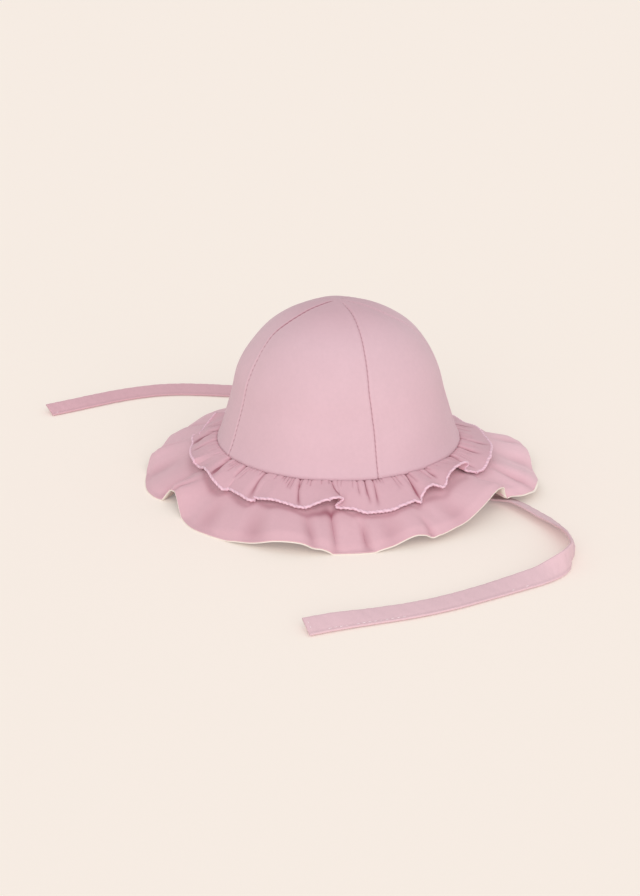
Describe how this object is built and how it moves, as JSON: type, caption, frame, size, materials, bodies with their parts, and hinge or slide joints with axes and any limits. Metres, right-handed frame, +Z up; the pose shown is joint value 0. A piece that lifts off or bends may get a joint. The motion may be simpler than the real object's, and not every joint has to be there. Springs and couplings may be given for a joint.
{
  "type": "reversible baby hat",
  "caption": "Soft baby sun hat with a domed panelled crown, a gathered ruffle, a wavy lined brim and two flat cloth ties, lying on a table.",
  "frame": {"origin": "on the table, under the middle of the head opening", "axes": "+Z up through the top of the crown, the front of the hat towards -Y, the ears along X"},
  "size_m": [0.4073, 0.3417, 0.1154],
  "materials": {
    "pink_cotton": "matt woven cotton poplin",
    "pink_ruffle": "matt woven cotton poplin, gathered, with an overlocked edge",
    "pink_tie": "matt woven cotton poplin, folded and stitched",
    "cream_lining": "matt woven cotton lining"
  },
  "bodies": {
    "root": {"crown_panel_1": "pink_cotton", "crown_panel_2": "pink_cotton", "crown_panel_3": "pink_cotton", "crown_panel_4": "pink_cotton", "crown_panel_5": "pink_cotton", "crown_lining": "cream_lining", "brim": "pink_cotton", "brim_lining": "cream_lining", "ruffle": "pink_ruffle", "tie_left": "pink_tie", "tie_right": "pink_tie"}
  },
  "joints": []
}
